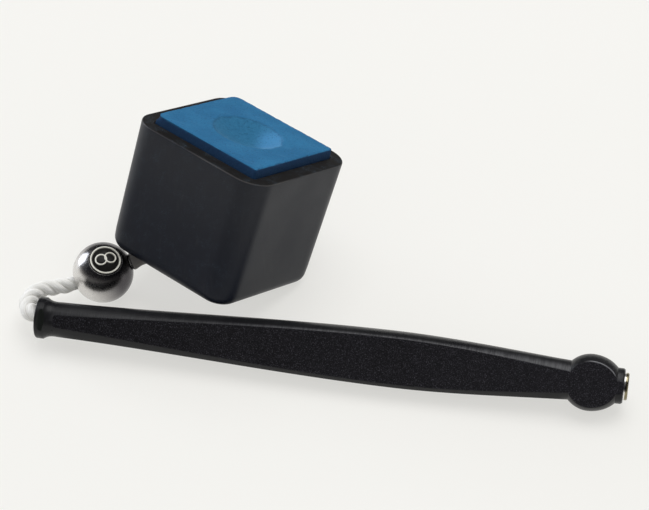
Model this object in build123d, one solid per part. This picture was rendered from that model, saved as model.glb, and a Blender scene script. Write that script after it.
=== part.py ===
from build123d import *
import math
import os

# A pocket holder for billiard cue chalk. It lies on a table: the handle on its rounded edge along X,
# the bead on the table, and the cup tilted back on its bottom edge, beside the handle. All lengths
# are in millimetres. The table is z = 0 and the origin is the middle of what stands on it.

# Chalk
chalk_width = 22.0
chalk_height = 20.0
chalk_edge_radius = 0.3
dish_diameter = 12.4
dish_depth = 2.1
dish_place = (0.5, -0.1)
label_thickness = 0.2
label_height = 17.4

# Cup
cup_height = 23.95
cup_rim_width = 27.9
cup_draft = 1.6
cup_corner_radius = 4.7
cup_bottom_fillet = 2.2
cup_rim_fillet = 0.5
cup_floor = 5.3
chalk_clearance = 0.05
cavity_corner_radius = 0.5
cup_yaw = -30.2
cup_tilt = -25.0
cup_place = (26.15, 17.5)

# Stub under the cup, along the diagonal of the cup, where the cord goes in
stub_place = (-6.8, -7.0)
stub_radius = 1.55
stub_end_fillet = 0.25
stub_bead_gap = 0.35

# Cord, and the knot in the cup that holds it
cord_diameter = 2.2
cord_clearance = 0.1
knot_radius = 1.9
knot_length = 2.6
knot_clearance = 0.2
knot_seat = 4.2

# Bead
bead_diameter = 10.5
bead_mouth_chamfer = 0.4
emblem_depth = 0.25
emblem_elevation = 72.3
emblem_lean = 20.2
emblem_ring_radius = 2.45
emblem_line = 0.4
emblem_groove = 0.2
figure_loop_radius = 0.92

# Handle
handle_length = 100.05
handle_y = -19.07
flats_thickness = 5.64
flats_roll = 35.7
flare_radius = 3.55
flare_edge_fillet = 0.4
flare_slope = -0.45
shank_radius = 3.0
shank_place = 4.0
shank_slope = 0.015
belly_radius = 4.81
belly_place = 61.5
wrist_radius = 3.3
wrist_slope = -0.06
ball_radius = 4.78
ball_place = 94.45
collar_radius = 3.0
collar_edge_chamfer = 0.3

# Magnet
magnet_radius = 2.3
magnet_thickness = 2.2
magnet_proud = 0.7
magnet_edge_chamfer = 0.15

# Crimped sleeve that holds the cord in the handle
ferrule_wall = 0.25
ferrule_length = 9.0
ferrule_recess = 1.2

# The cord's route outside the handle, from the middle of its mouth
bend_out = (-2.45, 0.0, 0.0)
bend_back = (-2.75, 7.1, -0.91)
bead_lead = 1.2
turn_shares = (0.42, 0.45, 0.15)

cord_radius = cord_diameter / 2
bead_radius = bead_diameter / 2
bore_radius = cord_radius + cord_clearance
ferrule_radius = bore_radius + ferrule_wall
cavity_width = chalk_width + 2 * (label_thickness + chalk_clearance)
cup_bottom_width = cup_rim_width - 2 * cup_height * math.tan(math.radians(cup_draft))
mouth = Vector(-(handle_length + magnet_proud) / 2, handle_y, max(belly_radius, ball_radius))


def cup_location():
    """The cup's own frame: its bottom's centre, resting on the bottom edge at +Y."""
    tilt = math.radians(-cup_tilt)
    inset = cup_bottom_fillet * math.tan(math.radians(45 - cup_draft / 2))
    reach = cup_bottom_width / 2 - inset
    height = reach * math.sin(tilt) + cup_bottom_fillet * (1 - math.cos(tilt))
    place = Pos(mouth.X + cup_place[0], mouth.Y + cup_place[1], height)
    return place * Rot(0, 0, cup_yaw) * Rot(cup_tilt, 0, 0)


def stub_axis():
    """The cord's line through the stub, from the cup's bottom face up into the cup."""
    start = Vector(stub_place[0], stub_place[1], 0)
    return Axis(start, Vector(1, 1, 1))


def in_the_room(axis):
    """The same axis, with the cup placed on the table."""
    frame = Plane(cup_location())
    start = frame.from_local_coords(axis.position)
    return Axis(start, frame.from_local_coords(axis.position + axis.direction) - start)


cord_axis = in_the_room(stub_axis())
bead_distance = (cord_axis.position.Z - bead_radius) / cord_axis.direction.Z
bead_centre = cord_axis.position - cord_axis.direction * bead_distance


def along_stub(distance):
    """A plane square to the stub's axis, in the cup's frame, so far in from the bottom face."""
    axis = stub_axis()
    return Plane(axis.position + axis.direction * distance, z_dir=axis.direction)


def rounded_square(width, radius):
    return RectangleRounded(width, width, radius)


def make_cup():
    draft_loss = (cup_rim_width - cup_bottom_width) / 2
    outline = rounded_square(cup_bottom_width, cup_corner_radius - draft_loss)
    cup = extrude(outline, cup_height, taper=-cup_draft)
    bottom_edges = cup.faces().sort_by(Axis.Z)[0].edges()
    cup = fillet(bottom_edges, cup_bottom_fillet)
    rim_edges = cup.faces().sort_by(Axis.Z)[-1].edges()
    cup = fillet(rim_edges, cup_rim_fillet)
    stub_length = bead_distance - bead_radius - stub_bead_gap
    stub = along_stub(-stub_length) * Cylinder(
        stub_radius, stub_length + knot_seat, align=(Align.CENTER, Align.CENTER, Align.MIN)
    )
    stub_end = stub.edges().filter_by(GeomType.CIRCLE).sort_by(stub_axis())[0]
    cup = cup + fillet(stub_end, stub_end_fillet)
    cavity = Pos(0, 0, cup_floor) * extrude(
        rounded_square(cavity_width, cavity_corner_radius), cup_height
    )
    cord_hole = along_stub(-2 * stub_length) * Cylinder(
        bore_radius, 3 * stub_length + knot_seat, align=(Align.CENTER, Align.CENTER, Align.MIN)
    )
    knot_well = along_stub(knot_seat) * Cylinder(
        knot_radius + knot_clearance, cup_height, align=(Align.CENTER, Align.CENTER, Align.MIN)
    )
    below_chalk = Pos(0, 0, cup_height / 2) * Box(cavity_width, cavity_width, cup_height)
    cup = cup - cavity - cord_hole - (knot_well & below_chalk)
    return cup_location() * cup


def make_knot():
    """The knot as a lump turned about the cord's line, drawn in at both ends."""
    half = knot_length / 2
    outline = Polyline((0, -half), (cord_radius, -half))
    swell = ThreePointArc((cord_radius, -half), (knot_radius, 0), (cord_radius, half))
    top = Polyline((cord_radius, half), (0, half), (0, -half))
    face = make_face(outline + swell + top)
    lump = revolve(Plane.XZ * face, Axis.Z)
    centre = knot_seat + knot_clearance + half
    return cup_location() * (along_stub(centre) * lump)


def make_chalk():
    cube = Box(chalk_width, chalk_width, chalk_height, align=(Align.CENTER, Align.CENTER, Align.MIN))
    cube = fillet(cube.edges(), chalk_edge_radius)
    dish_radius = ((dish_diameter / 2) ** 2 + dish_depth**2) / (2 * dish_depth)
    dish_lift = chalk_height - dish_depth + dish_radius
    dish = Pos(dish_place[0], dish_place[1], dish_lift) * Sphere(dish_radius)
    return cup_location() * Pos(0, 0, cup_floor) * (cube - dish)


def make_label():
    """The paper band, folded closely round the chalk's sides."""
    outer = chalk_width + 2 * label_thickness
    band = rounded_square(outer, chalk_edge_radius + label_thickness)
    band = band - rounded_square(chalk_width, chalk_edge_radius)
    band = extrude(band, label_height - chalk_edge_radius)
    return cup_location() * Pos(0, 0, cup_floor + chalk_edge_radius) * band


def make_bead():
    """A ball with a bore, and a ring and an 8 left standing in shallow hollows."""
    ball = Rot(0, 0, 180) * Sphere(bead_radius)
    bore = Cylinder(bore_radius, 2 * bead_diameter)
    mouth_depth = math.sqrt(bead_radius**2 - bore_radius**2) - bead_mouth_chamfer
    flare = Cone(
        bore_radius, bore_radius + 2 * bead_mouth_chamfer, 2 * bead_mouth_chamfer,
        align=(Align.CENTER, Align.CENTER, Align.MIN),
    )
    mouths = Pos(0, 0, mouth_depth) * flare
    mouths += Pos(0, 0, -mouth_depth) * Rot(180, 0, 0) * flare
    ball = ball - bore - mouths
    ring_inside = emblem_ring_radius - emblem_line / 2
    ring_outside = emblem_ring_radius + emblem_line / 2
    field = Circle(ring_inside)
    for side in (-1, 1):
        loop = Pos(0, side * figure_loop_radius) * Circle(figure_loop_radius + emblem_line / 2)
        hole = Pos(0, side * figure_loop_radius) * Circle(figure_loop_radius - emblem_line / 2)
        field = field - (loop - hole)
    field += Circle(ring_outside + emblem_groove) - Circle(ring_outside)
    sunk = extrude(field, bead_diameter) - Rot(90, 0, 0) * Sphere(bead_radius - emblem_depth)
    lean = math.radians(emblem_lean)
    facing = Plane((0, 0, 0), x_dir=(0, -1, 0), z_dir=(math.cos(lean), 0, math.sin(lean)))
    ball = ball - facing * sunk
    return bead_plane() * ball


def bead_plane():
    """The bead's frame: Z along the bore, X towards the side that the emblem is on."""
    elevation = math.radians(emblem_elevation)
    along = cord_axis.direction
    level = Vector(0, 0, 1).cross(along).normalized()
    upright = along.cross(level)
    facing = upright * math.sin(elevation) - level * math.cos(elevation)
    return Plane(bead_centre, x_dir=facing, z_dir=along)


def make_handle():
    """The turned outline, cut by two flats, with the cord's bore and the magnet's seat."""
    wrist_place = ball_place - math.sqrt(ball_radius**2 - wrist_radius**2)
    collar_place = ball_place + math.sqrt(ball_radius**2 - collar_radius**2)
    end = handle_length
    lip_start = (0, flare_radius - flare_edge_fillet)
    lip_end = (flare_edge_fillet, flare_radius)
    lip = Line((0, 0), lip_start) + RadiusArc(lip_start, lip_end, flare_edge_fillet)
    shank, belly = (shank_place, shank_radius), (belly_place, belly_radius)
    wrist = (wrist_place, wrist_radius)
    waist = Spline(lip_end, shank, tangents=((1, flare_slope), (1, shank_slope)))
    rise = Spline(shank, belly, tangents=((1, shank_slope), (1, 0)))
    fall = Spline(belly, wrist, tangents=((1, 0), (1, wrist_slope)))
    ball = ThreePointArc(wrist, (ball_place, ball_radius), (collar_place, collar_radius))
    collar = Polyline(
        (collar_place, collar_radius), (end - collar_edge_chamfer, collar_radius),
        (end, collar_radius - collar_edge_chamfer), (end, 0), (0, 0),
    )
    turned = revolve(make_face(lip + waist + rise + fall + ball + collar), Axis.X)
    slab = Rot(-flats_roll, 0, 0) * Box(
        3 * handle_length, flats_thickness, 4 * ball_radius
    )
    handle = turned & slab
    bore_depth = ferrule_recess + ferrule_length
    bore = Rot(0, 90, 0) * Cylinder(
        ferrule_radius, bore_depth, align=(Align.CENTER, Align.CENTER, Align.MIN)
    )
    seat_depth = magnet_thickness - magnet_proud
    seat = Pos(end - seat_depth, 0, 0) * Rot(0, 90, 0) * Cylinder(
        magnet_radius, magnet_thickness, align=(Align.CENTER, Align.CENTER, Align.MIN)
    )
    handle = handle - bore - seat
    return Pos(mouth) * handle


def make_magnet():
    disc = Cylinder(magnet_radius, magnet_thickness, align=(Align.CENTER, Align.CENTER, Align.MAX))
    disc = chamfer(disc.edges().sort_by(Axis.Z)[-1], magnet_edge_chamfer)
    return Pos(mouth) * Pos(handle_length + magnet_proud, 0, 0) * Rot(0, 90, 0) * disc


def make_ferrule():
    sleeve = Cylinder(ferrule_radius, ferrule_length) - Cylinder(bore_radius, ferrule_length)
    return Pos(mouth) * Pos(ferrule_recess + ferrule_length / 2, 0, 0) * Rot(0, 90, 0) * sleeve


def cord_route():
    """The points that the cord turns at, from its end in the sleeve to its knot in the cup."""
    held_end = mouth + Vector(ferrule_recess + ferrule_length, 0, 0)
    bead_exit = bead_centre - cord_axis.direction * (bead_radius + bead_lead)
    knot_end = cord_axis.position + cord_axis.direction * (knot_seat + knot_clearance)
    return [held_end, mouth + Vector(bend_out), mouth + Vector(bend_back), bead_exit, knot_end]


def turn_radii(points):
    """Each arc takes its share of the shorter run, less at the handle's mouth and at the bead."""
    radii = []
    for before, corner, after, share in zip(points, points[1:], points[2:], turn_shares):
        into, out = corner - before, after - corner
        half_turn = math.radians(into.get_angle(out)) / 2
        radii.append(share * min(into.length, out.length) / math.tan(half_turn))
    return radii


def make_cord():
    points = cord_route()
    radii = turn_radii(points)
    path = FilletPolyline(*points, radius=radii)
    section = Plane(path @ 0, z_dir=path % 0) * Circle(cord_radius)
    tube = sweep(section, path=path)
    expected = math.pi * cord_radius**2 * path.length
    print("cord points", [tuple(round(c, 2) for c in p) for p in points])
    print("cord radii", [round(r, 2) for r in radii], "length", round(path.length, 2))
    print("cord volume over section times length", round(tube.volume / expected, 4))
    return tube


pieces = {
    "handle": make_handle(),
    "magnet": make_magnet(),
    "cord_ferrule": make_ferrule(),
    "cord": make_cord(),
    "bead": make_bead(),
    "cup": make_cup(),
    "cup_knot": make_knot(),
    "chalk": make_chalk(),
    "chalk_label": make_label(),
}

os.makedirs("parts", exist_ok=True)
for name, piece in pieces.items():
    export_step(piece, f"parts/{name}.step")
print("cord axis", cord_axis.position, cord_axis.direction, "bead", bead_centre)
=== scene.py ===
from math import asin, atan2, cos, degrees, hypot, pi, radians, sin, sqrt, tan

import bmesh
import bpy
from mathutils import Matrix, Vector, noise


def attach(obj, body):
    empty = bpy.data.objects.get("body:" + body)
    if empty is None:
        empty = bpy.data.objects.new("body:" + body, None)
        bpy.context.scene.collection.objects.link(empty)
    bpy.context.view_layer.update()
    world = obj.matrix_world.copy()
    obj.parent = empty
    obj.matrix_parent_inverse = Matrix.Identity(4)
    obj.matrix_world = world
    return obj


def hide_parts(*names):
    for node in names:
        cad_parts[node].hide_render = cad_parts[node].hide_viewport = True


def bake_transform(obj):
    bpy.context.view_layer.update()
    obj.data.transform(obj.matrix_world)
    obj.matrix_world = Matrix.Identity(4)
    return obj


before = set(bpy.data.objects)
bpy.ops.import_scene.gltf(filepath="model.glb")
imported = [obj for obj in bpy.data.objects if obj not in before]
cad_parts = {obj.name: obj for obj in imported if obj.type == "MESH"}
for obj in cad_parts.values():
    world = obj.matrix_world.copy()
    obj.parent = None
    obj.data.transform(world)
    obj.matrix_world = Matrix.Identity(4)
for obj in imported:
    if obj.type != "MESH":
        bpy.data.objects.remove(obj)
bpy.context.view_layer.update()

# A pocket holder for billiard cue chalk, on a pale table. Lengths are written in millimetres and
# scaled to metres where a mesh is made.
MM = 0.001

# Camera, fitted to the photograph
camera_place = (50.575, -334.67, 341.5)
camera_azimuth = 9.252
camera_elevation = 44.482
camera_lens = 152.75

# Handle
mouth = Vector((-50.375, -19.07, 4.81))
handle_length = 100.05
flats_half_thickness = 2.82
flats_roll = 38.8
flats_edge_round = 0.3
flare_radius = 3.55
flare_edge_round = 0.4
flare_end = 1.4
flare_slope = -0.8
lip_flat_middle = 1.2
lip_flat_reach = 0.84
lip_flat_raise = 0.2
lip_flat_bulge = 0.6
flats_run_in = 1.5
shank_place = 4.0
shank_radius = 3.0
shank_slope = 0.015
belly_place = 61.5
belly_radius = 4.81
wrist_radius = 3.3
wrist_slope = -0.06
ball_place = 94.45
ball_radius = 4.78
ball_far_reach = 5.6
collar_radius = 3.0
collar_chamfer = 0.3
collar_step = 0.08
sleeve_seat_radius = 1.45
sleeve_seat_depth = 10.2
mouth_edge = 0.12
magnet_seat_radius = 2.3
magnet_seat_depth = 1.5

# Cup
cup_bottom_centre = Vector((-24.225, -1.57, 4.915))
cup_yaw = -30.2
cup_tilt = -25.0
cup_height = 23.95
cup_rim_half = 13.95
cup_draft = 1.6
cup_corner_radius = 4.7
cup_bottom_round = 2.2
cup_rim_round = 0.3
cup_lip_round = 0.15
cup_floor = 5.3
cavity_half = 11.25
cavity_corner = 0.5
stub_radius = 1.55
stub_end_round = 0.33
stub_neck_radius = 1.29
stub_knob = 1.4
stub_in_bead_mouth = 0.12
stub_end_grey = 0.35
stub_root_fade = 0.8
stub_fades = (-2.6, 0.0)
cord_hole_radius = 1.2
knot_well_radius = 2.1
knot_well_depth = 8.0
knot_seat = 4.2

# Chalk
chalk_half = 11.0
chalk_height = 20.25
chalk_corner_round = 0.3
chalk_top_round = 0.14
dish_place = (0.3, 0.3)
dish_radius = 6.4
dish_depth = 2.1
dish_fullness = 1.35

# Radius and depth of the two rubbed corners
far_corner_wear = (1.9, 3.5)
near_corner_wear = (1.4, 1.2)

# Bead, on the cord's straight end
bead_centre = Vector((-41.6056, -7.13337, 5.25))
bead_radius = 5.25
bead_mouth_chamfer = 0.4
emblem_depth = 0.25
emblem_elevation = 70.8
emblem_lean = 20.2
emblem_ring = 2.56
emblem_line = 0.25
emblem_groove = 0.2
figure_loop = 0.95
figure_offset = 0.84
cord_axis_point = Vector((-33.2933, -3.63256, 7.8731))
cord_axis = Vector((0.884934, 0.372701, 0.279258))
side_by_cup = Vector((0.78, 0.57, 0.26))

# Cord: the points that its route turns at, from the sleeve in the handle to the knot in the cup,
# with one more on each straight end, so that it lies straight in the sleeve and in the bead
cord_points = (
    (-40.17, -19.07, 4.81),
    (-44.5, -19.07, 4.81),
    (-52.83, -19.07, 4.81),
    (-53.12, -11.97, 3.9),
    (-47.31, -9.54, 3.45),
    (-45.186, -8.645, 4.12),
    (-29.4, -1.99, 9.1),
)
strand_count = 3
strand_lay = 6.8
strand_offset = 0.38
strand_radius = 0.74

# How the cord fluffs out where nothing holds it: pairs of distance along it and size
cord_swell = (
    (0.0, 1.0), (10.2, 1.0), (12.6, 1.36), (19.0, 1.36),
    (22.0, 1.26), (24.6, 1.18), (25.7, 1.0), (50.0, 1.0),
)
knot_centre_along = 5.7
knot_reach = 1.05
knot_half_length = 1.15
knot_turns = 1.8
knot_size = 0.68


# Mesh helpers

def new_thing(name, data):
    """An object in the scene for a mesh, a curve, a light or a camera."""
    thing = bpy.data.objects.new(name, data)
    bpy.context.scene.collection.objects.link(thing)
    return thing


def new_object(name, points, faces):
    """An object from points in millimetres."""
    mesh = bpy.data.meshes.new(name)
    mesh.from_pydata([tuple(c * MM for c in p) for p in points], [], faces)
    mesh.update()
    return new_thing(name, mesh)


def skin(name, rings, first_centre, last_centre):
    """A closed skin over rings of equal counts, with a fan to each end's centre."""
    count = len(rings[0])
    points = [p for ring in rings for p in ring] + [first_centre, last_centre]
    first, last = len(points) - 2, len(points) - 1
    faces = []
    for row in range(len(rings) - 1):
        low, high = row * count, (row + 1) * count
        for k in range(count):
            after = (k + 1) % count
            faces.append((low + k, low + after, high + after, high + k))
    faces += [((k + 1) % count, k, first) for k in range(count)]
    start = (len(rings) - 1) * count
    faces += [(start + k, start + (k + 1) % count, last) for k in range(count)]
    return new_object(name, points, faces)


def mark(thing, marks):
    """Keeps one number a point on the mesh under each name, for its material to read."""
    for name, values in marks.items():
        layer = thing.data.attributes.new(name, "FLOAT", "POINT")
        layer.data.foreach_set("value", values)


def smooth(thing, angle):
    thing.data.shade_smooth()
    thing.data.set_sharp_from_angle(angle=radians(angle))


def finished_mesh(thing):
    """A new mesh of a curve, or of a mesh with its modifiers applied."""
    depsgraph = bpy.context.evaluated_depsgraph_get()
    return bpy.data.meshes.new_from_object(thing.evaluated_get(depsgraph))


def cut(thing, tool, operation):
    """Joins or cuts a closed tool into a closed thing, and takes the tool away."""
    step = thing.modifiers.new("cut", "BOOLEAN")
    step.operation = operation
    step.solver = "EXACT"
    step.object = tool
    made = finished_mesh(thing)
    thing.modifiers.clear()
    thing.data = made
    bpy.data.objects.remove(tool)


def clean(thing):
    """Joins doubled points, takes away slivers that cuts leave, and splits many-sided faces."""
    sliver = 0.004 * MM
    work = bmesh.new()
    work.from_mesh(thing.data)
    bmesh.ops.remove_doubles(work, verts=work.verts, dist=sliver)
    bmesh.ops.dissolve_degenerate(work, edges=work.edges, dist=sliver)
    bmesh.ops.triangulate(work, faces=[face for face in work.faces if len(face.verts) > 4])
    work.to_mesh(thing.data)
    work.free()


def arc(radius, start, end, steps):
    """Points round a circle from start to end degrees, both included."""
    angles = [radians(start + (end - start) * k / steps) for k in range(steps + 1)]
    return [(radius * cos(angle), radius * sin(angle)) for angle in angles]


def rod(name, profile, base, along):
    """A solid turned about a line: the profile is pairs of distance along it and radius."""
    turn = along.to_track_quat("Z", "Y")
    rings = []
    for distance, radius in profile:
        circle = arc(radius, 0, 360, 64)[:-1]
        rings.append([base + turn @ Vector((x, y, distance)) for x, y in circle])
    return skin(name, rings, base + along * profile[0][0], base + along * profile[-1][0])


def rise(value, low, high):
    """0 up to low, 1 from high on, and a smooth rise between them."""
    t = min(1.0, max(0.0, (value - low) / (high - low)))
    return t * t * (3 - 2 * t)


def hermite(t, low, high, low_slope, high_slope, span):
    """A cubic from low to high over span, with the slopes at its ends."""
    t2, t3 = t * t, t * t * t
    ends = (2 * t3 - 3 * t2 + 1) * low + (3 * t2 - 2 * t3) * high
    return ends + ((t3 - 2 * t2 + t) * low_slope + (t3 - t2) * high_slope) * span


# Handle

wrist_place = ball_place - sqrt(ball_radius**2 - wrist_radius**2)
collar_place = ball_place + ball_far_reach * sqrt(1 - (collar_radius / ball_radius) ** 2)
lip_end = lip_flat_middle + lip_flat_reach

# The handle's painted light: a painted highlight on the upper side next to the flats, a lower side
# painted lighter as a painted reflection, and a painted highlight along the ball's crest: how strong each
# is, and where it begins and ends along it and across it
painted_highlight_grows = (24, 40)
painted_highlight_widens = (68, 82)
painted_highlight_least = 0.3
painted_highlight_on_collar = 0.6
painted_highlight_width = 0.6
painted_highlight_added_width = 0.9
painted_highlight_soft_edge = 0.1
under_begins = (3, 8)
under_ends = (wrist_place - 2, wrist_place)
under_across = (0.6, 2.0)
crest_begins = (ball_place - 1.5, ball_place + 0.5)
crest_ends = (ball_place + 3.6, ball_place + 4.4)
crest_near_edge = (0.01, 0.06)
crest_far_edge = (0.16, 0.26)


def handle_outline():
    """Pairs of distance from the mouth and radius, from the lip to the collar's end."""
    flat = flare_radius - flare_edge_round
    outline = [(flare_edge_round + x, flat + y) for x, y in arc(flare_edge_round, 180, 90, 12)]
    spans = (
        (flare_edge_round, flare_end, flare_radius, flare_radius, 0.0, 0.0, 10),
        (flare_end, shank_place, flare_radius, shank_radius, flare_slope, shank_slope, 30),
        (shank_place, belly_place, shank_radius, belly_radius, shank_slope, 0.0, 90),
        (belly_place, wrist_place, belly_radius, wrist_radius, 0.0, wrist_slope, 60),
    )
    for start, end, low, high, low_slope, high_slope, steps in spans:
        for k in range(1, steps + 1):
            t = k / steps
            radius = hermite(t, low, high, low_slope, high_slope, end - start)
            outline.append((start + t * (end - start), radius))
    first = 180 - degrees(asin(wrist_radius / ball_radius))
    last = degrees(asin(collar_radius / ball_radius))
    for x, y in arc(1.0, first, last, 48)[1:]:
        reach = ball_radius if x < 0 else ball_far_reach
        outline.append((ball_place + reach * x, ball_radius * y))
    outline.append((collar_place + collar_step, collar_radius))
    outline.append((handle_length - collar_chamfer, collar_radius))
    outline.append((handle_length - 0.25 * collar_chamfer, collar_radius - 0.5 * collar_chamfer))
    outline.append((handle_length, collar_radius - collar_chamfer))
    return outline


def flat_depth(distance):
    """How far the flats are from the middle: the lip has an oval flat of its own, then they go on."""
    from_middle = (distance - lip_flat_middle) / lip_flat_reach
    if from_middle < 1:
        return flats_half_thickness + lip_flat_raise + lip_flat_bulge * from_middle**2
    run_in = 1 - rise(distance, lip_end, lip_end + flats_run_in)
    return flats_half_thickness + (lip_flat_raise + lip_flat_bulge) * run_in


def flattened_section(radius, depth):
    """A circle cut by two flats, with rounded corners, as points (across, up) before the roll."""
    depth = min(depth, 0.9994 * radius)
    corner = min(flats_edge_round, 0.3 * (radius - depth) + 0.02)
    inner = depth - corner
    half = sqrt(max((radius - corner) ** 2 - inner**2, 1e-6))
    edge_angle = degrees(atan2(inner, half))
    quarter = [(half * k / 14, depth) for k in range(14)]
    quarter += [(half + x, inner + y) for x, y in arc(corner, 90, edge_angle, 8)]
    quarter += arc(radius, edge_angle, 0, 18)[1:]
    mirrored = [(across, -up) for across, up in reversed(quarter[:-1])]
    half_section = quarter + mirrored
    return half_section + [(-across, -up) for across, up in half_section[1:-1]]


def handle_ring(distance, section):
    roll = radians(flats_roll)
    ring = []
    for across, up in section:
        y = across * sin(roll) - up * cos(roll)
        z = across * cos(roll) + up * sin(roll)
        ring.append(mouth + Vector((distance, y, z)))
    return ring


def round_section(radius, like):
    """A circle with the same directions as another section's points."""
    return [tuple(Vector(p).normalized() * radius) for p in like]


def flat_share(section, depth):
    """1 on the two flats of a section, 0 on its round sides."""
    reach = max(hypot(across, up) for across, up in section)
    if reach < depth + 0.03:
        return [0.0] * len(section)
    return [rise(abs(up), depth - 0.09, depth - 0.005) for _, up in section]


def painted_highlight_share(section, depth, distance):
    """1 on the upper side next to a flat, where a highlight is painted, 0 elsewhere."""
    amount = painted_highlight_least + (1 - painted_highlight_least) * rise(distance, *painted_highlight_grows)
    if distance > wrist_place or distance < lip_end:
        amount = 0.0
    if collar_place < distance < handle_length - 0.5 * collar_chamfer:
        amount = painted_highlight_on_collar
    low = depth - painted_highlight_width - painted_highlight_added_width * rise(distance, *painted_highlight_widens)
    high = depth - painted_highlight_soft_edge
    return [amount * (across > 0) * rise(up, low, high) for across, up in section]


def under_share(section, distance):
    """1 on the lower side of the handle's body, which is duller and painted lighter as a painted
    reflection, 0 elsewhere.
    """
    amount = rise(distance, *under_begins) * (1 - rise(distance, *under_ends))
    return [amount * rise(-across, *under_across) for across, _ in section]


def painted_crest_highlight_share(section, depth, distance):
    """1 along the upper edge of the ball's flat, where a highlight is painted, 0 elsewhere."""
    amount = rise(distance, *crest_begins) * (1 - rise(distance, *crest_ends))
    shares = []
    for across, up in section:
        sunk = depth - up
        line = rise(sunk, *crest_near_edge) * (1 - rise(sunk, *crest_far_edge))
        shares.append(amount * (across > 0) * line)
    return shares


def make_handle():
    outline = handle_outline()
    outer = [(distance, flattened_section(radius, flat_depth(distance))) for distance, radius in outline]
    first, last = outer[0][1], outer[-1][1]
    bore = [
        (sleeve_seat_depth, round_section(sleeve_seat_radius, first)),
        (mouth_edge, round_section(sleeve_seat_radius, first)),
        (0.0, round_section(sleeve_seat_radius + mouth_edge, first)),
    ]
    seat = [
        (handle_length, round_section(magnet_seat_radius, last)),
        (handle_length - magnet_seat_depth, round_section(magnet_seat_radius, last)),
    ]
    rings = [handle_ring(distance, section) for distance, section in bore + outer + seat]
    start = mouth + Vector((sleeve_seat_depth, 0, 0))
    end = mouth + Vector((handle_length - magnet_seat_depth, 0, 0))
    handle = skin("handle_body", rings, start, end)
    handle.data.flip_normals()
    names = ("flat", "lip", "rubbed", "painted_crest_highlight", "under", "along")
    marks = {name: [0.0] * (len(bore) * len(first)) for name in names}
    for distance, section in outer:
        depth = flat_depth(distance)
        shares = flat_share(section, depth)
        plain = [0.0] * len(section)
        marks["flat"] += plain if distance < lip_end else shares
        marks["lip"] += shares if distance < lip_end else plain
        # A painted highlight on the upper side next to the flat
        marks["rubbed"] += painted_highlight_share(section, depth, distance)
        marks["painted_crest_highlight"] += painted_crest_highlight_share(section, depth, distance)
        marks["under"] += under_share(section, distance)
        marks["along"] += [distance / handle_length] * len(section)
    after = [0.0] * (len(seat) * len(first) + 2)
    mark(handle, {name: values + after for name, values in marks.items()})
    smooth(handle, 40)
    return handle


# Cup

def cup_matrix():
    place = Matrix.Translation(cup_bottom_centre)
    yaw = Matrix.Rotation(radians(cup_yaw), 4, "Z")
    return place @ yaw @ Matrix.Rotation(radians(cup_tilt), 4, "X")


cup_frame = cup_matrix()


def rounded_square(half, corner, height, side_steps=24, corner_steps=12):
    """A ring of points round a square with rounded corners, in the cup's frame."""
    straight = half - corner
    quarter = [(half, straight * (2 * k / side_steps - 1)) for k in range(side_steps)]
    quarter += [(straight + x, straight + y) for x, y in arc(corner, 0, 90, corner_steps)[:-1]]
    ring = []
    for turn in range(4):
        side = Matrix.Rotation(pi / 2 * turn, 3, "Z")
        ring += [side @ Vector((x, y, height)) for x, y in quarter]
    return ring


def cup_outside():
    """Rings from the middle of the bottom, up the wall and over the rim's outer edge."""
    slope = tan(radians(cup_draft))
    bottom_half = cup_rim_half - cup_height * slope
    bottom_corner = cup_corner_radius - cup_height * slope
    flat_half = bottom_half - cup_bottom_round
    flat_corner = bottom_corner - cup_bottom_round
    rings = [rounded_square(flat_half * s, flat_corner * s, 0) for s in (0.05, 0.25, 0.5, 0.75, 0.95)]
    for x, y in arc(cup_bottom_round, 0, 90 - cup_draft, 12):
        rings.append(rounded_square(flat_half + y, flat_corner + y, cup_bottom_round - x))
    wall_low, wall_high = cup_bottom_round, cup_height - cup_rim_round
    for k in range(1, 21):
        height = wall_low + (wall_high - wall_low) * k / 20
        spread = height * slope
        rings.append(rounded_square(bottom_half + spread, bottom_corner + spread, height))
    for x, y in arc(cup_rim_round, 0, 90, 6)[1:]:
        spread = x - cup_rim_round
        rings.append(rounded_square(cup_rim_half + spread, cup_corner_radius + spread, wall_high + y))
    return rings


def cup_inside():
    """Rings from the rim's outer edge to the cavity's floor."""
    rim_half = cup_rim_half - cup_rim_round
    rim_corner = cup_corner_radius - cup_rim_round
    lip_half = cavity_half + cup_lip_round
    lip_corner = cavity_corner + cup_lip_round
    rings = []
    for share in (0.2, 0.4, 0.6, 0.8, 0.97):
        half = rim_half + (lip_half - rim_half) * share
        corner = rim_corner + (lip_corner - rim_corner) * share
        rings.append(rounded_square(half, corner, cup_height))
    for x, y in arc(cup_lip_round, 90, 0, 4):
        rings.append(rounded_square(lip_half - x, lip_corner - x, cup_height - cup_lip_round + y))
    for height in (20.0, 16.0, 11.0, 8.0, cup_floor):
        rings.append(rounded_square(cavity_half, cavity_corner, height))
    for share in (0.9, 0.6, 0.3, 0.05):
        rings.append(rounded_square(cavity_half * share, cavity_corner * share, cup_floor))
    return rings


def stub_profile():
    """The stub under the cup, from its rounded knob by the bead to the knot's seat."""
    end = -((cord_axis_point - bead_centre).length - bead_radius + stub_in_bead_mouth)
    knob = end + stub_end_round
    profile = [(knob - y, stub_radius - stub_end_round + x) for x, y in arc(stub_end_round, 90, 0, 4)]
    for t in [k / 8 for k in range(1, 9)]:
        radius = stub_radius + (stub_neck_radius - stub_radius) * rise(t, 0, 1)
        profile.append((knob + stub_knob * t, radius))
    profile.append((knot_seat, stub_neck_radius))
    return profile


def stub_grey(along, end):
    """How grey the stub is: most on its knob, less towards the cup, and less on its end face, which the
    lamp lights, as painted shade.
    """
    if along < end + 0.9 * stub_end_round:
        return stub_end_grey
    return 1 - stub_root_fade * rise(along, *stub_fades)


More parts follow.
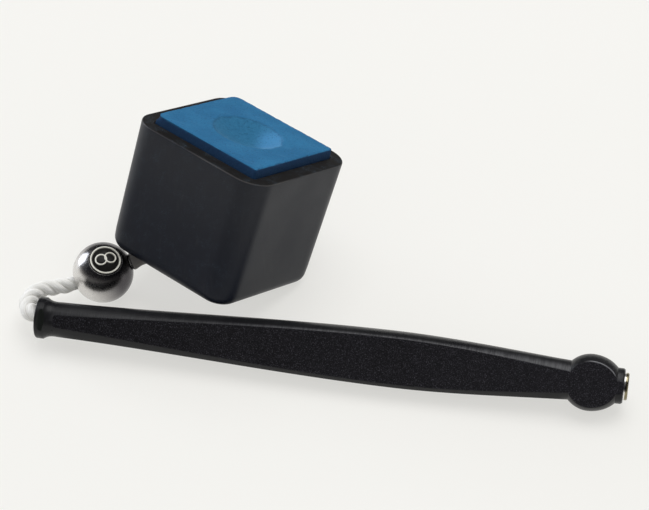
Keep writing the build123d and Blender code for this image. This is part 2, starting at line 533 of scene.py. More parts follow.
def make_cup():
    rings = cup_outside() + cup_inside()
    placed = [[cup_frame @ p for p in ring] for ring in rings]
    cup = skin("cup_body", placed, cup_bottom_centre, cup_frame @ Vector((0, 0, cup_floor)))
    profile = stub_profile()
    stub_end = profile[0][0]
    # The hole reaches out of the stub and into the well, and the well into the cavity
    hole = [(stub_end - 3, cord_hole_radius), (knot_seat + 0.2, cord_hole_radius)]
    well = [(knot_seat, knot_well_radius), (knot_seat + knot_well_depth, knot_well_radius)]
    tools = (("stub", profile, "UNION"), ("hole", hole, "DIFFERENCE"), ("well", well, "DIFFERENCE"))
    for name, outline, operation in tools:
        cut(cup, rod(name, outline, cord_axis_point, cord_axis), operation)
    clean(cup)
    to_cup = cup_frame.inverted()
    spots = [v.co / MM for v in cup.data.vertices]
    heights = [(to_cup @ spot).z for spot in spots]
    bands = {
        "rim": (cup_height - 0.12, cup_height - 0.01),
        "edge": (cup_height - 0.28, cup_height - 0.12),
        # The upper wall is painted lighter: a painted highlight
        "upper": (6.0, cup_height),
    }
    marks = {name: [rise(h, *band) for h in heights] for name, band in bands.items()}
    marks["stub"] = []
    for spot in spots:
        along = (spot - cord_axis_point).dot(cord_axis)
        reach = (spot - cord_axis_point).cross(cord_axis).length
        on_stub = reach < stub_radius + 0.03 and along < 3
        marks["stub"].append(stub_grey(along, stub_end) * on_stub)
    mark(cup, marks)
    smooth(cup, 40)
    return cup


# Chalk

def chalk_square(inset, height):
    """A ring round the chalk, drawn in by the inset."""
    corner = max(0.02, chalk_corner_round - inset)
    return rounded_square(chalk_half - inset, corner, height, 40, 8)


def chalk_rings():
    """Rings from the middle of the bottom, up the sides, over the top and down into the dish."""
    rings = [chalk_square(chalk_half * share, 0) for share in (0.95, 0.5, 0.1)]
    for x, y in arc(chalk_corner_round, 0, 90, 4):
        rings.append(chalk_square(chalk_corner_round - y, chalk_corner_round - x))
    low, high = chalk_corner_round, chalk_height - chalk_top_round
    for k in range(1, 61):
        rings.append(chalk_square(0, low + (high - low) * k / 60))
    for x, y in arc(chalk_top_round, 0, 90, 4)[1:]:
        rings.append(chalk_square(chalk_top_round - x, high + y))
    square = rings[-1]
    middle = Vector((dish_place[0], dish_place[1], chalk_height))
    ways = [(p - middle).normalized() for p in square]
    for k in range(1, 25):
        rings.append([p.lerp(middle + way * dish_radius, k / 24) for p, way in zip(square, ways)])
    for k in range(1, 36):
        share = 1 - k / 36
        sunk = Vector((0, 0, -dish_depth * (1 - share**2) ** dish_fullness))
        rings.append([middle + way * dish_radius * share + sunk for way in ways])
    return rings


def rubbed_corner(p, side, radius, depth):
    """A chalk point drawn in to a rounder corner, on one of the sides along Y, down to a depth."""
    centre = Vector((radius - chalk_half, side * (chalk_half - radius), p.z))
    off = p - centre
    if off.x > 0 or off.y * side < 0 or off.length < radius:
        return p
    share = rise(p.z, chalk_height - depth, chalk_height - 0.5 * depth)
    return p.lerp(centre + off.normalized() * radius, share)


def worn(p):
    """A chalk point moved by the grain and by rubbed, slightly chipped top edges."""
    p = rubbed_corner(rubbed_corner(p, 1, *far_corner_wear), -1, *near_corner_wear)
    side = max(abs(p.x), abs(p.y)) / chalk_half
    near_top = rise(p.z, chalk_height - 1.2, chalk_height)
    near_edge = near_top * rise(side, 0.9, 1.0)
    chip = max(0.0, noise.noise(p * 0.9)) * 0.08 + max(0.0, noise.noise(p * 2.7)) * 0.07
    front = rise(max(p.x, -p.y), chalk_half - 0.45, chalk_half - 0.05)
    chip += front * rise(p.x, -6, 8) * (0.1 + 0.1 * noise.noise(p * 1.3))
    grain = 0.012 * noise.noise(p * 4.0)
    inward = Vector((-p.x, -p.y, 0)).normalized() * 0.4 * chip * near_edge
    return p + inward + Vector((0, 0, -0.9 * chip * near_edge - abs(grain) * near_top))


def polish_and_painted_highlight_share(x, y):
    """1 on the dish's far right side, from the dish's middle, where cue tips have polished it and it is
    painted lighter as a painted highlight.
    """
    right, back = 0.84 * x + 0.55 * y, 0.79 * y - 0.61 * x
    return rise(right, 0.9, 3.6) * (1 - 0.8 * rise(back, 1.8, 4.8))


def make_chalk():
    rings = [[worn(p) for p in ring] for ring in chalk_rings()]
    lift = Vector((0, 0, cup_floor))
    placed = [[cup_frame @ (p + lift) for p in ring] for ring in rings]
    top = Vector((dish_place[0], dish_place[1], cup_floor + chalk_height - dish_depth))
    chalk = skin("chalk_cube", placed, cup_frame @ lift, cup_frame @ top)
    upper, hollow, polished = [], [], []
    for p in [p for ring in rings for p in ring]:
        x, y = p.x - dish_place[0], p.y - dish_place[1]
        ragged = 0.05 * noise.noise(p * 0.8) + 0.03 * noise.noise(p * 2.5)
        reach = hypot(x, y) / dish_radius + ragged
        in_dish = (1 - rise(reach, 0.9, 1.02)) * (p.z > chalk_height - 3)
        hollow.append(in_dish)
        upper.append(max(in_dish, rise(p.z, chalk_height - 0.2, chalk_height - 0.06)))
        # The polished side of the dish, which is also painted lighter as a painted highlight
        polished.append(in_dish * polish_and_painted_highlight_share(x, y))
    # The last two points are the middle of the bottom and of the dish
    mark(chalk, {
        "dish": hollow + [0.0, 1.0],
        "top": upper + [0.0, 1.0],
        "polished": polished + [0.0, 0.0],
    })
    smooth(chalk, 50)
    return chalk


# Bead

emblem_edge = emblem_ring + emblem_line / 2 + emblem_groove
emblem_soft = 0.05


def emblem_axes():
    """The emblem's across, up and outward directions in the room."""
    elevation, lean = radians(emblem_elevation), radians(emblem_lean)
    level = Vector((0, 0, 1)).cross(cord_axis).normalized()
    facing = cord_axis.cross(level) * sin(elevation) - level * cos(elevation)
    outward = facing * cos(lean) + cord_axis * sin(lean)
    across = facing.cross(cord_axis)
    return across, outward.cross(across), outward


def emblem_lines(x, y):
    """1 on the ring and on the figure of the emblem, 0 beside them."""
    from_lines = [abs(hypot(x, y) - emblem_ring)]
    for side in (-1, 1):
        from_lines.append(abs(hypot(x, y - side * figure_offset) - figure_loop))
    return 1 - rise(min(from_lines), emblem_line / 2 - emblem_soft, emblem_line / 2 + emblem_soft)


def emblem_field(x, y):
    """1 within the emblem's round field, 0 on the plain ball."""
    return 1 - rise(hypot(x, y), emblem_edge - emblem_soft, emblem_edge + emblem_soft)


def make_bead():
    across, up, outward = emblem_axes()
    edge = asin((emblem_edge + 2 * emblem_soft) / bead_radius)
    angles = [edge * k / 110 for k in range(1, 111)]
    angles += [edge + (pi - edge) * k / 90 for k in range(1, 90)]
    rings = []
    for polar in angles:
        ring = []
        for x, y in arc(bead_radius * sin(polar), 0, 360, 320)[:-1]:
            sunk = emblem_field(x, y) * (1 - emblem_lines(x, y)) if polar < edge else 0.0
            way = (across * x + up * y) / bead_radius + outward * cos(polar)
            ring.append(bead_centre + way * (bead_radius - emblem_depth * sunk))
        rings.append(ring)
    top = bead_centre + outward * bead_radius
    bead = skin("bead_ball", rings, top, bead_centre - outward * bead_radius)
    reach = sqrt(bead_radius**2 - cord_hole_radius**2) - bead_mouth_chamfer
    far = 2 * bead_mouth_chamfer
    bore = [
        (-reach - far, cord_hole_radius + far), (-reach, cord_hole_radius),
        (reach, cord_hole_radius), (reach + far, cord_hole_radius + far),
    ]
    cut(bead, rod("bore", bore, bead_centre, cord_axis), "DIFFERENCE")
    fields, lines, painted_shade_by_cup = [], [], []
    for v in bead.data.vertices:
        spot = v.co / MM - bead_centre
        flat = (spot.dot(across) * bead_radius / spot.length, spot.dot(up) * bead_radius / spot.length)
        facing = 1.0 if spot.dot(outward) > 0 else 0.0
        fields.append(facing * emblem_field(*flat))
        lines.append(facing * emblem_lines(*flat))
        # Painted shade on the side towards the cup
        painted_shade_by_cup.append(rise(spot.dot(side_by_cup) / bead_radius, -0.85, 0.3))
    mark(bead, {"emblem_field": fields, "emblem_lines": lines, "painted_shade_by_cup": painted_shade_by_cup})
    smooth(bead, 45)
    return bead


# Cord and its knot

def route_line():
    """The cord's centreline in metres, read from a spline on the route's points."""
    curve = bpy.data.curves.new("route", "CURVE")
    curve.dimensions = "3D"
    curve.resolution_u = 90
    spline = curve.splines.new("NURBS")
    spline.points.add(len(cord_points) - 1)
    for knot, place in zip(spline.points, cord_points):
        knot.co = (place[0] * MM, place[1] * MM, place[2] * MM, 1.0)
    spline.order_u = 3
    spline.use_endpoint_u = True
    thing = new_thing("route", curve)
    points = [v.co.copy() for v in finished_mesh(thing).vertices]
    bpy.data.objects.remove(thing)
    return points


def frames_along(points):
    """A steady pair of side directions at each point of a line."""
    ahead = [(points[min(k + 1, len(points) - 1)] - points[max(k - 1, 0)]).normalized()
             for k in range(len(points))]
    side = ahead[0].orthogonal().normalized()
    frames = []
    for way in ahead:
        side = (side - way * side.dot(way)).normalized()
        frames.append((side, way.cross(side)))
    return frames


def runs_along(points):
    runs = [0.0]
    for before, after in zip(points, points[1:]):
        runs.append(runs[-1] + (after - before).length)
    return runs


def strand_reach(angle):
    """How far the outside of the laid strands is from the cord's middle, at an angle round it."""
    third = 2 * pi / strand_count
    off = (angle + third / 2) % third - third / 2
    return strand_offset * cos(off) + sqrt(strand_radius**2 - (strand_offset * sin(off)) ** 2)


def swell_at(run):
    """The cord's size at a distance along it, against its size where it is held."""
    for (start, low), (end, high) in zip(cord_swell, cord_swell[1:]):
        if run <= end:
            return low + (high - low) * rise(run, start, end)
    return 1.0


def laid_rope(name, line, sizes, lay_length):
    """A skin over three strands laid together along a line in millimetres, with its lay as a UV map."""
    around = 24 * strand_count
    runs = runs_along(line)
    rings = []
    for spot, run, size, (side, up) in zip(line, runs, sizes, frames_along(line)):
        phase = 2 * pi * run / lay_length
        ring = []
        for k in range(around):
            angle = 2 * pi * (k + 0.5 * around / strand_count) / around
            reach = strand_reach(angle) * size
            ring.append(spot + (side * cos(angle + phase) + up * sin(angle + phase)) * reach)
        rings.append(ring)
    rope = skin(name, rings, line[0], line[-1])
    lay = rope.data.uv_layers.new(name="lay")
    for face in rope.data.polygons[: (len(rings) - 1) * around]:
        row, k = divmod(face.index, around)
        spots = ((row, k), (row, k + 1), (row + 1, k + 1), (row + 1, k))
        for loop, (at_row, at_k) in zip(face.loop_indices, spots):
            lay.data[loop].uv = (runs[at_row] / lay_length, at_k / around * strand_count)
    smooth(rope, 60)
    return rope


def make_cord():
    line = route_line()
    in_mm = [p / MM for p in line]
    sizes = [swell_at(run) for run in runs_along(in_mm)]
    return laid_rope("cord_twist", in_mm, sizes, strand_lay), line


def make_knot():
    """A stopper knot: the cord's end wound round itself and tucked in at both ends."""
    turn = cord_axis.to_track_quat("Z", "Y")
    centre = cord_axis_point + cord_axis * knot_centre_along
    line = []
    steps = 160
    for k in range(steps + 1):
        t = k / steps
        angle = 2 * pi * knot_turns * t
        tuck = rise(t, 0.0, 0.16) * (1 - rise(t, 0.84, 1.0))
        height = knot_half_length * (2 * t - 1) * (0.45 + 0.3 * (1 - tuck))
        spot = Vector((cos(angle), sin(angle), 0)) * knot_reach * tuck
        line.append(centre + turn @ (spot + Vector((0, 0, height))))
    return laid_rope("stopper_knot", line, [knot_size] * len(line), strand_lay * knot_size)


# Nodes

def feed(socket, value):
    """Links a socket to another, or sets a plain value on it."""
    if isinstance(value, bpy.types.NodeSocket):
        socket.id_data.links.new(value, socket)
    elif socket.type == "RGBA":
        socket.default_value = (*value, 1.0)
    else:
        socket.default_value = value


def feed_row(step, *values):
    """Feeds a node's sockets in their order, and gives its first output."""
    for socket, value in zip(step.inputs, values):
        feed(socket, value)
    return step.outputs[0]


def feed_named(sockets, values):
    """Feeds the sockets that the values are named after."""
    for label, value in values.items():
        feed(sockets[label.replace("_", " ")], value)


def new_step(kind, *values):
    """A node of a kind, in the tree of the first socket among the values."""
    sockets = [value for value in values if isinstance(value, bpy.types.NodeSocket)]
    return sockets[0].id_data.nodes.new("ShaderNode" + kind)


def calc(operation, first, second=0.0):
    step = new_step("Math", first, second)
    step.operation = operation
    return feed_row(step, first, second)


def times(first, second):
    return calc("MULTIPLY", first, second)


def ramp(value, low, high, from_value=0.0, to_value=1.0):
    """A smooth rise from one value to another while the input goes from low to high."""
    step = new_step("MapRange", value)
    step.interpolation_type = "SMOOTHSTEP"
    return feed_row(step, value, low, high, from_value, to_value)


def mix(share, first, second):
    """A colour between two others."""
    step = new_step("Mix", share)
    step.data_type = "RGBA"
    feed(step.inputs[0], share)
    feed(step.inputs[6], first)
    feed(step.inputs[7], second)
    return step.outputs[2]


def value_mix(share, first, second):
    step = new_step("Mix", share)
    feed(step.inputs[0], share)
    feed(step.inputs[2], first)
    feed(step.inputs[3], second)
    return step.outputs[0]


def noise_at(where, scale, detail=2.0, roughness=0.5):
    step = new_step("TexNoise", where)
    feed_named(step.inputs, {"Vector": where, "Scale": scale, "Detail": detail, "Roughness": roughness})
    return step.outputs[0]


def marked(tree, name):
    """The number that the mesh keeps under a name."""
    step = tree.nodes.new("ShaderNodeAttribute")
    step.attribute_name = name
    return step.outputs["Fac"]


def coordinates(tree, kind):
    return tree.nodes.new("ShaderNodeTexCoord").outputs[kind]


def parts_of(vector):
    """The X, Y and Z of a vector."""
    step = new_step("SeparateXYZ", vector)
    feed(step.inputs[0], vector)
    return step.outputs


def stretched(where, along_x, along_y, along_z):
    step = new_step("VectorMath", where)
    step.operation = "MULTIPLY"
    return feed_row(step, where, feed_row(new_step("CombineXYZ", where), along_x, along_y, along_z))


def in_millimetres(tree):
    """The object's own coordinates, in millimetres."""
    return stretched(coordinates(tree, "Object"), 1 / MM, 1 / MM, 1 / MM)


# Shared effects

def new_group(name, inputs, outputs):
    group = bpy.data.node_groups.new(name, "ShaderNodeTree")
    for way, labels in (("INPUT", inputs), ("OUTPUT", outputs)):
        for label in labels:
            group.interface.new_socket(label, in_out=way, socket_type="NodeSocketFloat")
    given = group.nodes.new("NodeGroupInput")
    result = group.nodes.new("NodeGroupOutput")
    return group, given.outputs, result.inputs


def grain_group():
    """Fine grain, by its grains in a millimetre: a height for a bump, and specks that stand out."""
    group, given, result = new_group("fine_grain", ["Grains per mm"], ["Height", "Specks"])
    where = in_millimetres(group)
    feed(result["Height"], noise_at(where, given["Grains per mm"], 3.0, 0.6))
    coarse = times(given["Grains per mm"], 0.63)
    feed(result["Specks"], ramp(noise_at(where, coarse, 1.0), 0.56, 0.72))
    return group


def cloud_group():
    """Slow, uneven variation over a surface, as from handling, by its size in millimetres."""
    group, given, result = new_group("clouding", ["Size in mm"], ["Cloud"])
    scale = calc("DIVIDE", 1.0, given["Size in mm"])
    cloud = noise_at(in_millimetres(group), scale, 4.0, 0.55)
    feed(result["Cloud"], ramp(cloud, 0.3, 0.7))
    return group


def rub_group():
    """Fine rub marks and tool marks: as many lines in a millimetre along each axis as given."""
    names = ["Lines along X", "Lines along Y", "Lines along Z"]
    group, given, result = new_group("rub_marks", names, ["Height", "Marks"])
    where = stretched(in_millimetres(group), *(given[n] for n in names))
    lines = noise_at(where, 1.0, 4.0, 0.65)
    feed(result["Height"], lines)
    feed(result["Marks"], ramp(lines, 0.54, 0.72))
    return group


def dust_group():
    """Chalk dust, by its amount, that settles in patches on what faces up."""
    group, given, result = new_group("chalk_dust", ["Amount"], ["Dust"])
    where = in_millimetres(group)
    facing = ramp(parts_of(coordinates(group, "Normal"))[2], 0.1, 0.9)
    patches = ramp(noise_at(where, 0.45, 5.0, 0.7), 0.45, 0.75)
    fine = ramp(noise_at(where, 6.0, 2.0), 0.42, 0.7)
    settled = times(times(patches, fine), facing)
    feed(result["Dust"], times(settled, given["Amount"]))
    return group


fine_grain = grain_group()
clouding = cloud_group()
rub_marks = rub_group()
chalk_dust = dust_group()


def effect(tree, group, *values):
    """A shared effect placed in a material, with values for the effect's own inputs."""
    placed = tree.nodes.new("ShaderNodeGroup")
    placed.node_tree = group
    for socket, value in zip(placed.inputs, values):
        socket.default_value = value
    return placed.outputs


def feed_shader(material, values):
    feed_named(material.node_tree.nodes["Principled BSDF"].inputs, values)


def new_material(name, **constants):
    material = bpy.data.materials.new(name)
    material.use_nodes = True
    feed_shader(material, constants)
    return material, material.node_tree


def surfaced(material, colour, roughness, relief, depth_mm, **others):
    """The material, given its colour, its roughness and a fine relief of a depth."""
    step = new_step("Bump", relief)
    feed_named(step.inputs, {"Strength": 1.0, "Distance": depth_mm * MM, "Height": relief})
    given = {"Base Color": colour, "Roughness": roughness, "Normal": step.outputs[0]}
    feed_shader(material, given | others)
    return material


# Materials

def handle_black():
    """Satin black on the turned sides, a fine sparkling grain on the flats, and a plain dark lip, with
    painted highlights on the upper side and along the ball's crest, and a lower side painted lighter as a
    painted reflection.
    """
    material, tree = new_material("handle_black", Specular_IOR_Level=0.22)
    flat, lip, under = marked(tree, "flat"), marked(tree, "lip"), marked(tree, "under")
    grain = effect(tree, fine_grain, 6.5)
    cloud = effect(tree, clouding, 7.0)["Cloud"]
    turning = effect(tree, rub_marks, 5.0, 0.35, 0.35)
    side = mix(cloud, (0.01, 0.01, 0.0115), (0.015, 0.015, 0.0165))
    side = mix(times(turning["Marks"], 0.3), side, (0.04, 0.04, 0.043))
    # A painted highlight on the upper side next to the flat, kept by the mark named rubbed and streaked
    # along the turning marks
    streaks = ramp(turning["Height"], 0.35, 0.65, 0.35, 1.0)
    rubbed = times(marked(tree, "rubbed"), streaks)
    side = mix(rubbed, side, (0.088, 0.088, 0.094))
    # The lower side painted lighter: a painted reflection
    side = mix(under, side, (0.032, 0.032, 0.033))
    ground = mix(cloud, (0.0015, 0.0014, 0.003), (0.003, 0.0028, 0.005))
    nearer_ball = times(marked(tree, "along"), 0.5)
    ground = mix(nearer_ball, ground, (0.013, 0.0122, 0.0165))
    sparkle = ramp(grain["Height"], 0.5, 0.72)
    ground = mix(sparkle, ground, (0.062, 0.059, 0.073))
    colour = mix(flat, side, ground)
    # A painted highlight along the upper edge of the ball's flat
    colour = mix(marked(tree, "painted_crest_highlight"), colour, (0.17, 0.17, 0.18))
    colour = mix(lip, colour, (0.012, 0.014, 0.0125))
    worn_side = value_mix(under, value_mix(cloud, 0.26, 0.36), 0.85)
    roughness = value_mix(flat, worn_side, 0.62)
    relief = value_mix(flat, times(turning["Height"], 0.7), grain["Height"])
    return surfaced(material, colour, roughness, relief, 0.06)


def cup_rubber():
    """Moulded black rubber: smooth walls painted lighter high up as a painted highlight, a duller cut rim
    with a painted highlight along its outer edge, and a little dust.
    """
    material, tree = new_material("cup_rubber", Specular_IOR_Level=0.21)
    rim, edge, stub = marked(tree, "rim"), marked(tree, "edge"), marked(tree, "stub")
    cloud = effect(tree, clouding, 11.0)["Cloud"]
    grain = effect(tree, fine_grain, 3.0)
    rubbed = effect(tree, rub_marks, 1.4, 0.5, 0.12)
    dust = effect(tree, chalk_dust, 0.45)["Dust"]
    wall = mix(cloud, (0.0046, 0.0066, 0.0142), (0.0068, 0.0094, 0.018))
    # Painted highlight: the wall painted lighter high up
    wall = mix(times(marked(tree, "upper"), 0.75), wall, (0.025, 0.0265, 0.032))
    wall = mix(times(rubbed["Marks"], 0.18), wall, (0.03, 0.032, 0.036))
    cut_rim = mix(grain["Height"], (0.005, 0.0042, 0.004), (0.0125, 0.0112, 0.0108))
    colour = mix(rim, wall, cut_rim)
    # A painted highlight along the rim's outer edge
    painted_edge_highlight = times(edge, calc("SUBTRACT", 1.0, rim))
    painted_edge_highlight = times(painted_edge_highlight, value_mix(cloud, 0.0, 0.9))
    colour = mix(painted_edge_highlight, colour, (0.075, 0.071, 0.068))
    colour = mix(stub, colour, (0.25, 0.235, 0.222))
    colour = mix(dust, colour, (0.1, 0.16, 0.22))
    roughness = value_mix(rim, value_mix(cloud, 0.36, 0.46), 0.72)
    relief = times(grain["Height"], value_mix(rim, 0.25, 0.6))
    return surfaced(material, colour, roughness, relief, 0.035)


def blue_chalk():
    """Pressed chalk: a dusty, brushed top, sides painted darker as painted shade, painted shade round the
    dish's edge, and a dish polished at one side and painted lighter there as a painted highlight.
    """
    material, tree = new_material("blue_chalk", Specular_IOR_Level=0.25)
    top, dish, polished = marked(tree, "top"), marked(tree, "dish"), marked(tree, "polished")
    cloud = effect(tree, clouding, 6.0)["Cloud"]
    grain = effect(tree, fine_grain, 5.0)
    coarse = effect(tree, fine_grain, 1.7)
    brushed = effect(tree, rub_marks, 0.22, 1.5, 0.6)
    # The sides painted darker than the top: painted shade
    side = mix(grain["Height"], (0.0065, 0.027, 0.08), (0.015, 0.06, 0.145))
    upper = mix(cloud, (0.0165, 0.138, 0.295), (0.025, 0.178, 0.36))
    upper = mix(times(brushed["Marks"], 0.5), upper, (0.046, 0.19, 0.36))
    upper = mix(ramp(grain["Height"], 0.35, 0.65, 0.0, 0.3), upper, (0.01, 0.085, 0.2))
    hollow = mix(coarse["Height"], (0.01, 0.095, 0.19), (0.046, 0.22, 0.39))
    upper = mix(times(dish, 0.75), upper, hollow)
    # Painted shade: a dark ring round the dish's edge
    painted_shade_at_dish_edge = times(dish, calc("SUBTRACT", 1.0, dish))
    upper = mix(times(painted_shade_at_dish_edge, 0.7), upper, (0.018, 0.085, 0.19))
    # Painted highlight: the dish's polished side painted lighter; its lower roughness is the real polish
    upper = mix(times(polished, 0.75), upper, (0.056, 0.26, 0.52))
    colour = mix(top, side, upper)
    pits = times(grain["Specks"], 0.35)
    colour = mix(pits, colour, (0.008, 0.045, 0.11))
    relief = calc("ADD", grain["Height"], times(coarse["Height"], 1.5))
    return surfaced(material, colour, value_mix(polished, 0.92, 0.6), relief, 0.07)


def bead_nickel():
    """Polished nickel with painted shade towards the cup, standing in for the cup's dark reflection, and
    the emblem in ivory on black enamel.
    """
    material, tree = new_material("bead_nickel", Specular_IOR_Level=0.15)
    field, lines = marked(tree, "emblem_field"), marked(tree, "emblem_lines")
    cloud = effect(tree, clouding, 3.0)["Cloud"]
    rubbed = effect(tree, rub_marks, 3.0, 0.6, 1.2)
    grain = effect(tree, fine_grain, 7.0)
    bright = mix(cloud, (0.66, 0.64, 0.62), (0.74, 0.725, 0.71))
    # Painted shade towards the cup, in place of the cup's dark reflection
    metal = mix(marked(tree, "painted_shade_by_cup"), bright, (0.11, 0.104, 0.11))
    enamel = mix(grain["Height"], (0.006, 0.006, 0.006), (0.02, 0.019, 0.017))
    ivory = mix(cloud, (0.82, 0.8, 0.71), (0.93, 0.92, 0.84))
    colour = mix(lines, mix(field, metal, enamel), ivory)
    painted = calc("MAXIMUM", field, lines)
    bare = calc("SUBTRACT", 1.0, painted)
    polish = value_mix(cloud, 0.23, 0.28)
    polish = calc("ADD", polish, times(rubbed["Marks"], 0.05))
    roughness = value_mix(painted, polish, 0.3)
    relief = value_mix(painted, times(rubbed["Height"], 0.12), grain["Height"])
    return surfaced(material, colour, roughness, relief, 0.012, Metallic=bare)


def ivory_cord():
    """Twisted white cord: fine yarn along each strand, and a little grey painted in the grooves as
    painted shade.
    """
    material, tree = new_material("ivory_cord", Specular_IOR_Level=0.3, Sheen_Weight=0.25)
    lay = tree.nodes.new("ShaderNodeUVMap")
    lay.uv_map = "lay"
    where = lay.outputs[0]
    yarn = noise_at(stretched(where, 3.0, 14.0, 1.0), 1.0, 3.0, 0.6)
    fibre = noise_at(stretched(where, 7.0, 34.0, 1.0), 1.0, 2.0)
    across = calc("ABSOLUTE", calc("SUBTRACT", calc("FRACT", parts_of(where)[1]), 0.5))
    # Painted shade in the grooves between the strands
    groove_painted_shade = ramp(across, 0.36, 0.5)
    cloud = effect(tree, clouding, 2.5)["Cloud"]
    thread = mix(ramp(yarn, 0.34, 0.6), (0.76, 0.75, 0.71), (0.98, 0.975, 0.96))
    thread = mix(times(cloud, 0.3), thread, (0.88, 0.87, 0.79))
    thread = mix(times(groove_painted_shade, 0.35), thread, (0.55, 0.53, 0.47))
    relief = calc("ADD", yarn, times(fibre, 0.4))
    return surfaced(material, thread, value_mix(yarn, 0.95, 0.75), relief, 0.09)


def magnet_nickel():
    """Nickel plate, yellowed at its outer edge, with a bright ring next to the collar that is a painted
    highlight, and grinding marks.
    """
    material, tree = new_material("magnet_nickel", Metallic=1.0)
    cloud = effect(tree, clouding, 1.6)["Cloud"]
    ground = effect(tree, rub_marks, 9.0, 1.2, 1.2)
    plate = mix(cloud, (0.24, 0.21, 0.13), (0.36, 0.32, 0.21))
    plate = mix(ground["Marks"], plate, (0.16, 0.14, 0.09))
    along = parts_of(coordinates(tree, "Generated"))[0]
    # A painted highlight: a bright ring next to the collar
    painted_highlight_ring = calc("SUBTRACT", 1.0, ramp(along, 0.75, 0.8))
    plate = mix(painted_highlight_ring, plate, (0.92, 0.9, 0.87))
    return surfaced(material, plate, value_mix(cloud, 0.2, 0.34), ground["Height"], 0.012)


def sleeve_brass():
    """Drawn brass, dulled by handling, with marks of the crimp along it."""
    material, tree = new_material("sleeve_brass", Metallic=1.0)
    cloud = effect(tree, clouding, 2.0)["Cloud"]
    drawn = effect(tree, rub_marks, 0.8, 6.0, 6.0)
    brass = mix(cloud, (0.36, 0.25, 0.1), (0.62, 0.46, 0.2))
    return surfaced(material, brass, value_mix(drawn["Marks"], 0.28, 0.5), drawn["Height"], 0.02)


def label_paper():
    """Plain paper with fibres, dusted with chalk."""
    material, tree = new_material("label_paper", Specular_IOR_Level=0.2)
    cloud = effect(tree, clouding, 5.0)["Cloud"]
    fibre = effect(tree, rub_marks, 3.0, 3.0, 1.0)
    grain = effect(tree, fine_grain, 4.0)
    paper = mix(fibre["Marks"], (0.66, 0.64, 0.58), (0.76, 0.74, 0.69))
    stain = times(times(cloud, grain["Height"]), 0.6)
    paper = mix(stain, paper, (0.16, 0.3, 0.42))
    return surfaced(material, paper, value_mix(fibre["Marks"], 0.8, 0.95), fibre["Height"], 0.02)


def dress(thing, material):
    thing.data.materials.clear()
    thing.data.materials.append(material)


# Room

table_colour = (0.913, 0.905, 0.871)
table_own_light = 0.66
ambient_light = 0.45


def seen_directly(tree):
    """1 for what the camera, a reflection or a clear part sees, 0 for what lights the object."""
    path = tree.nodes.new("ShaderNodeLightPath").outputs
    seen = calc("MAXIMUM", path["Is Camera Ray"], path["Is Glossy Ray"])
    return calc("MAXIMUM", seen, path["Is Transmission Ray"])


def bare_material(name):
    """A material, its tree and the open socket of its surface."""
    material = bpy.data.materials.new(name)
    material.use_nodes = True
    tree = material.node_tree
    tree.nodes.clear()
    return material, tree, tree.nodes.new("ShaderNodeOutputMaterial").inputs["Surface"]


def pale_table():
    """Lit as any matt table, with most of what is seen as its own even light, so shadows stay soft."""
    material, tree, surface = bare_material("pale_table")
    both = tree.nodes.new("ShaderNodeMixShader")
    feed(both.inputs[0], times(seen_directly(tree), table_own_light))
    for kind, socket in (("BsdfDiffuse", both.inputs[1]), ("Emission", both.inputs[2])):
        light = tree.nodes.new("ShaderNode" + kind)
        feed(light.inputs["Color"], table_colour)
        feed(socket, light.outputs[0])
    feed(surface, both.outputs[0])
    return material


def make_table():
    corners = [(-3000, -3000, 0), (3000, -3000, 0), (3000, 3000, 0), (-3000, 3000, 0)]
    table = new_object("table", corners, [(0, 1, 2, 3)])
    dress(table, pale_table())


def make_world():
    world = bpy.data.worlds.new("studio")
    bpy.context.scene.world = world
    world.use_nodes = True
    tree = world.node_tree
    backdrop = tree.nodes["Background"].inputs["Color"]
    low = (ambient_light, ambient_light, ambient_light)
    feed(backdrop, mix(seen_directly(tree), low, table_colour))


def dark_cloth(name, low, high):
    """Cloth that glows a little at its foot, where the pale table lights it, and is dark above."""
    material, tree, surface = bare_material(name)
    glow = tree.nodes.new("ShaderNodeEmission")
    height = parts_of(coordinates(tree, "Object"))[2]
    feed(glow.inputs["Color"], mix(ramp(height, 0.0, 0.13), low, high))
    feed(surface, glow.outputs[0])
    return material


def make_hood(name, radius, first_turn, material):
    """Half of a dome of dark cloth round the table, which only reflections see."""
    rings = []
    for level, height in arc(radius, 0, 89, 12):
        rings.append([(x, y, height) for x, y in arc(level, first_turn, first_turn + 180, 24)])
    count = len(rings[0])
    faces = []
    for row in range(len(rings) - 1):
        for k in range(count - 1):
            low, high = row * count + k, (row + 1) * count + k
            faces.append((low, low + 1, high + 1, high))
    hood = new_object(name, [p for ring in rings for p in ring], faces)
    dress(hood, material)
    for rays in ("camera", "diffuse", "transmission", "volume_scatter", "shadow"):
        setattr(hood, "visible_" + rays, False)


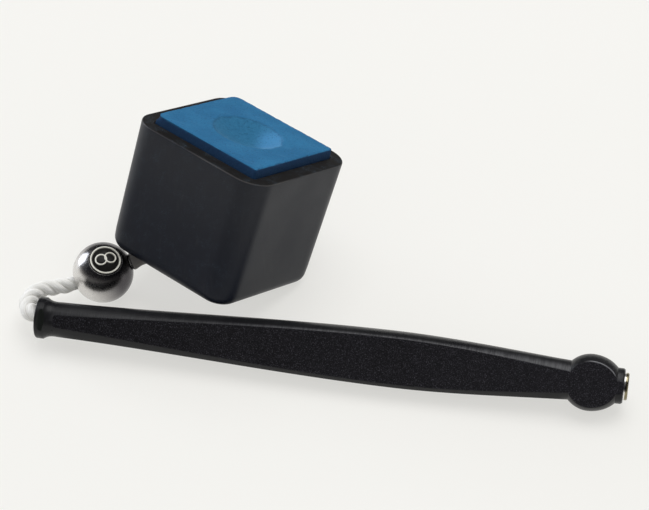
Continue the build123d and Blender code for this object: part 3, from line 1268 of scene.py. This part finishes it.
def make_lamp(name, way, distance, size, radiance, colour=(1.0, 1.0, 1.0)):
    """A soft box that faces the holder, as bright as given wherever it stands."""
    data = bpy.data.lights.new(name, "AREA")
    data.color = colour
    data.shape = "RECTANGLE"
    data.size, data.size_y = size
    data.energy = radiance * pi * size[0] * size[1]
    lamp = new_thing(name, data)
    place = Vector(way).normalized() * distance
    lamp.location = place
    lamp.rotation_euler = place.to_track_quat("Z", "Y").to_euler()


def make_room():
    make_table()
    make_world()
    make_hood("front_hood", 450, 180, dark_cloth("front_cloth", (0.3, 0.29, 0.28), (0.012, 0.012, 0.015)))
    make_hood("back_hood", 2500, 0, dark_cloth("back_cloth", (0.2, 0.2, 0.2), (0.05, 0.05, 0.05)))
    make_lamp("left_box", (-0.888, 0.404, 0.222), 1.4, (0.64, 0.64), 5.6, (0.93, 0.98, 1.08))
    make_lamp("top_box", (0.12, 0.28, 0.95), 1.35, (1.2, 1.2), 2.6)


def make_camera():
    data = bpy.data.cameras.new("camera")
    data.lens = camera_lens
    data.sensor_width = 36
    data.sensor_fit = "HORIZONTAL"
    data.clip_start = 0.01
    camera = new_thing("camera", data)
    camera.location = [c * MM for c in camera_place]
    camera.rotation_euler = (radians(90 - camera_elevation), 0, radians(camera_azimuth))
    bpy.context.scene.camera = camera


def stand_in(thing, material, node, body):
    """Dresses a piece, puts it in a CAD node's place and lets it move with a body."""
    dress(thing, material)
    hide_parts(node)
    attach(thing, body)


make_camera()
make_room()
bpy.context.scene.view_settings.view_transform = "Standard"

white_cord = ivory_cord()
knot = make_knot()
stand_in(knot, white_cord, "cup_knot", "tether")
cord, cord_line = make_cord()
dress(cord, white_cord)
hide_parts("cord")
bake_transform(cord)

stand_in(make_handle(), handle_black(), "handle", "handle")
stand_in(make_cup(), cup_rubber(), "cup", "cup")
stand_in(make_chalk(), blue_chalk(), "chalk", "chalk")
stand_in(make_bead(), bead_nickel(), "bead", "bead")
dress(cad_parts["magnet"], magnet_nickel())
dress(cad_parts["cord_ferrule"], sleeve_brass())
dress(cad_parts["chalk_label"], label_paper())
